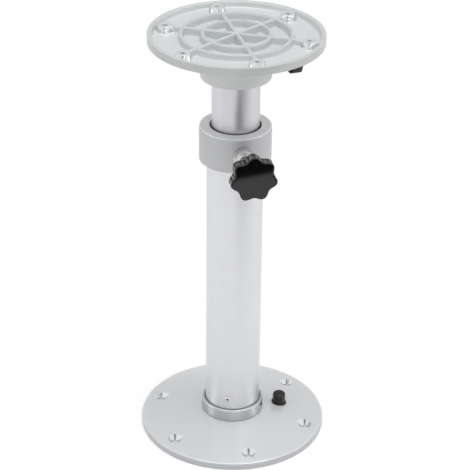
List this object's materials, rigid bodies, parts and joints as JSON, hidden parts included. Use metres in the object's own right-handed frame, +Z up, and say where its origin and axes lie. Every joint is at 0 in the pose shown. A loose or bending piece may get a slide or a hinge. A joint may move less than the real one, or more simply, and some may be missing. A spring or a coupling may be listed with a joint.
{
  "type": "telescopic table pedestal",
  "caption": "Round screw-down base, telescoping leg held by a star knob, and a ribbed swivel plate that carries a table top.",
  "frame": {"origin": "middle of the base plate's underside, on the leg's axis", "axes": "+Z up along the leg; +X to the right and +Y away from the viewer in the picture"},
  "size_m": [0.238, 0.238, 0.5458],
  "materials": {
    "cast_paint": "cast aluminium with light grey satin paint",
    "satin_aluminium": "satin anodised",
    "turned_aluminium": "turned, satin",
    "bright_steel": "bright",
    "dark_steel": "blackened",
    "black_moulding": "glossy black moulding",
    "black_nylon": "matt",
    "white_acetal": "matt"
  },
  "bodies": {
    "stand": {"base_plate": "cast_paint", "socket_ring": "turned_aluminium", "ring_grub_screw": "dark_steel", "button_guide": "black_moulding", "button_spring": "bright_steel", "latch_cover": "satin_aluminium", "latch_cover_screw_1": "bright_steel", "latch_cover_screw_2": "bright_steel", "foot_plug": "turned_aluminium", "foot_screw_1": "bright_steel", "foot_screw_2": "bright_steel", "foot_screw_3": "bright_steel", "lower_tube": "satin_aluminium", "clamp_collar": "cast_paint", "collar_grub_screw_1": "dark_steel", "collar_grub_screw_2": "dark_steel", "collar_bush": "black_nylon", "clamp_boss": "bright_steel"},
    "button": {"release_button": "black_moulding"},
    "bolt": {"latch_bolt": "white_acetal"},
    "pad": {"pressure_pad": "white_acetal"},
    "knob": {"clamp_knob": "black_moulding", "clamp_stud": "bright_steel"},
    "column": {"inner_tube": "satin_aluminium", "inner_guide": "black_nylon", "top_spindle": "turned_aluminium", "spindle_pin": "bright_steel", "thrust_washer": "white_acetal"},
    "table_plate": {"top_plate": "cast_paint", "swivel_bush": "black_nylon", "retaining_screw_1": "dark_steel", "retaining_screw_2": "dark_steel", "lever_pivot_screw": "bright_steel"},
    "lever": {"lever_arm": "bright_steel", "lever_grip": "black_moulding"},
    "shoe": {"brake_shoe": "white_acetal"}
  },
  "joints": [
    {"name": "height_slide", "type": "slide", "parent": "stand", "child": "column", "axis": [0, 0, 1], "range_m": [-0.063, 0.155]},
    {"name": "plate_swivel", "type": "hinge", "parent": "column", "child": "table_plate", "pos_m": [0, 0, 0.53], "axis": [0, 0, 1], "continuous": true},
    {"name": "lever_swing", "type": "hinge", "parent": "table_plate", "child": "lever", "pos_m": [0.05178, -0.01129, 0.5265], "axis": [0, 0, 1], "range_deg": [0, 29]},
    {"name": "shoe_slide", "type": "slide", "parent": "table_plate", "child": "shoe", "axis": [0.977, -0.213, 0], "range_m": [0, 0.00036]},
    {"name": "pad_slide", "type": "slide", "parent": "stand", "child": "pad", "axis": [0.2079, -0.9781, 0], "range_m": [0, 0.00225]},
    {"name": "knob_turn", "type": "hinge", "parent": "pad", "child": "knob", "pos_m": [0, 0, 0.4057], "axis": [0.2079, -0.9781, 0], "range_deg": [0, 541]},
    {"name": "button_press", "type": "slide", "parent": "stand", "child": "button", "axis": [0, 0, -1], "range_m": [0, 0.0045], "stiffness_N_per_m": 800, "springref_m": -0.006, "deforming": ["button_spring"]},
    {"name": "bolt_slide", "type": "slide", "parent": "stand", "child": "bolt", "axis": [0.981, 0.1942, 0], "range_m": [0, 0.0045]}
  ],
  "couplings": [
    {"joint": "knob_turn", "follows": "pad_slide", "rad_per_m": 4188.8},
    {"joint": "bolt_slide", "follows": "button_press", "ratio": 1},
    {"joint": "shoe_slide", "follows": "lever_swing", "m_per_rad": 0.000686}
  ]
}
